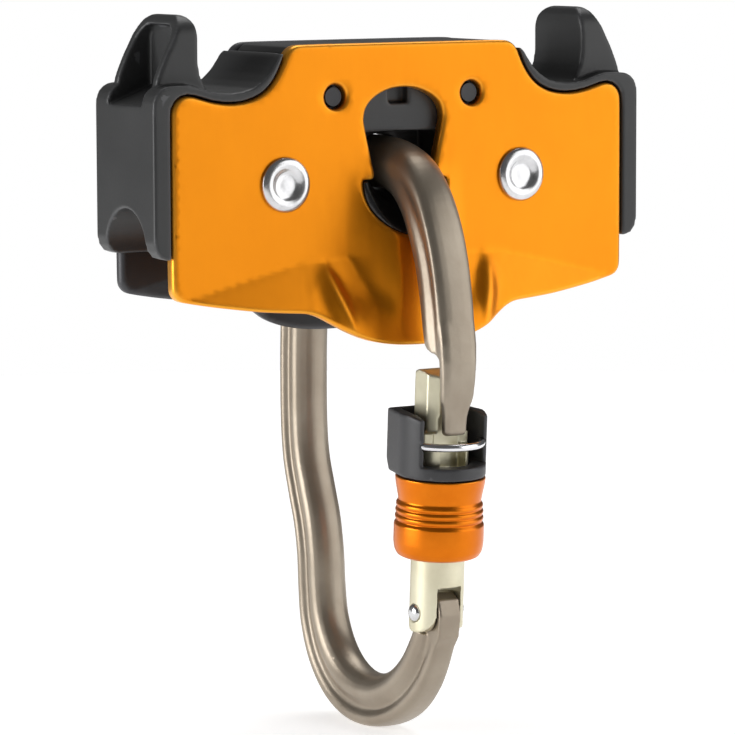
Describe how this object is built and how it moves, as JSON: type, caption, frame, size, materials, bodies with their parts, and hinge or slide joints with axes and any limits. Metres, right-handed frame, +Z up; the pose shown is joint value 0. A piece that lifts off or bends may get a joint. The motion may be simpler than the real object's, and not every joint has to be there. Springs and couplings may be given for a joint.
{
  "type": "cable trolley with captive carabiner",
  "caption": "Tandem cable trolley with fixed side plates, hooked end bumpers and a captive screw-lock carabiner hanging through the plates.",
  "frame": {"origin": "on the centreline of the cable, midway between the two sheaves and midway between the side plates", "axes": "+X along the cable; the orange plate and the gate face -Y; +Z up, so the carabiner hangs down -Z"},
  "size_m": [0.1292, 0.0737, 0.1657],
  "materials": {
    "orange_anodised": "satin anodised, fine vertical brushing",
    "black_anodised": "satin black anodised",
    "black_moulding": "fine grained satin moulding",
    "dark_pin": "satin",
    "saddle_black": "smooth low-friction plastic",
    "rivet_steel": "bright zinc plated, turned ring",
    "sheave_steel": "turned steel",
    "bearing_steel": "ground steel",
    "cage_brass": "satin",
    "champagne_forged": "shot blasted and anodised",
    "pale_gold": "satin anodised",
    "sleeve_orange": "satin anodised, turned",
    "spring_steel": "drawn wire",
    "collar_black": "fine grained moulding",
    "wire_steel": "polished wire"
  },
  "bodies": {
    "trolley_frame": {"front_side_plate": "orange_anodised", "back_side_plate": "black_anodised", "left_end_bumper": "black_moulding", "right_end_bumper": "black_moulding", "centre_block": "black_moulding", "locating_pins": "dark_pin", "carabiner_saddle": "saddle_black", "axle_rivets": "rivet_steel", "axle_spacers": "bearing_steel", "left_bearing_inner_ring": "bearing_steel", "right_bearing_inner_ring": "bearing_steel"},
    "left_wheel": {"left_sheave": "sheave_steel", "left_bearing_outer_ring": "bearing_steel"},
    "right_wheel": {"right_sheave": "sheave_steel", "right_bearing_outer_ring": "bearing_steel"},
    "left_balls": {"left_bearing_balls": "bearing_steel", "left_ball_cage": "cage_brass"},
    "right_balls": {"right_bearing_balls": "bearing_steel", "right_ball_cage": "cage_brass"},
    "carabiner": {"carabiner_body": "champagne_forged", "gate_rivet": "rivet_steel"},
    "gate_arm": {"gate": "pale_gold", "gate_spring": "spring_steel", "gate_plunger": "spring_steel"},
    "collar": {"lock_collar": "collar_black", "nose_keeper_wire": "wire_steel", "sleeve_snap_ring": "spring_steel"},
    "sleeve": {"locking_sleeve": "sleeve_orange"}
  },
  "joints": [
    {"name": "left_sheave_spin", "type": "hinge", "parent": "trolley_frame", "child": "left_wheel", "pos_m": [-0.0315, 0, 0.0185], "axis": [0, 1, 0], "continuous": true},
    {"name": "right_sheave_spin", "type": "hinge", "parent": "trolley_frame", "child": "right_wheel", "pos_m": [0.0315, 0, 0.0185], "axis": [0, 1, 0], "continuous": true},
    {"name": "left_ball_roll", "type": "hinge", "parent": "trolley_frame", "child": "left_balls", "pos_m": [-0.0315, 0, 0.0185], "axis": [0, 1, 0], "continuous": true},
    {"name": "right_ball_roll", "type": "hinge", "parent": "trolley_frame", "child": "right_balls", "pos_m": [0.0315, 0, 0.0185], "axis": [0, 1, 0], "continuous": true},
    {"name": "carabiner_swing", "type": "hinge", "parent": "trolley_frame", "child": "carabiner", "pos_m": [0, 0, 0.022], "axis": [0, 1, 0], "range_deg": [-35, 35]},
    {"name": "gate_swing", "type": "hinge", "parent": "carabiner", "child": "gate_arm", "pos_m": [0, -0.0263, -0.0785], "axis": [-1, 0, 0], "range_deg": [0, 26], "stiffness_Nm_per_rad": 0.06, "springref_deg": -20.05},
    {"name": "lock_slide", "type": "slide", "parent": "gate_arm", "child": "collar", "axis": [0, -0.0593, 0.9982], "range_m": [0, 0.0055]},
    {"name": "sleeve_turn", "type": "hinge", "parent": "collar", "child": "sleeve", "pos_m": [0, -0.0263, -0.0785], "axis": [0, -0.0593, 0.9982], "range_deg": [0, 720]}
  ],
  "couplings": [
    {"joint": "left_ball_roll", "follows": "left_sheave_spin", "ratio": 0.6111},
    {"joint": "right_ball_roll", "follows": "right_sheave_spin", "ratio": 0.6111},
    {"joint": "sleeve_turn", "follows": "lock_slide", "rad_per_m": 2284.8}
  ]
}
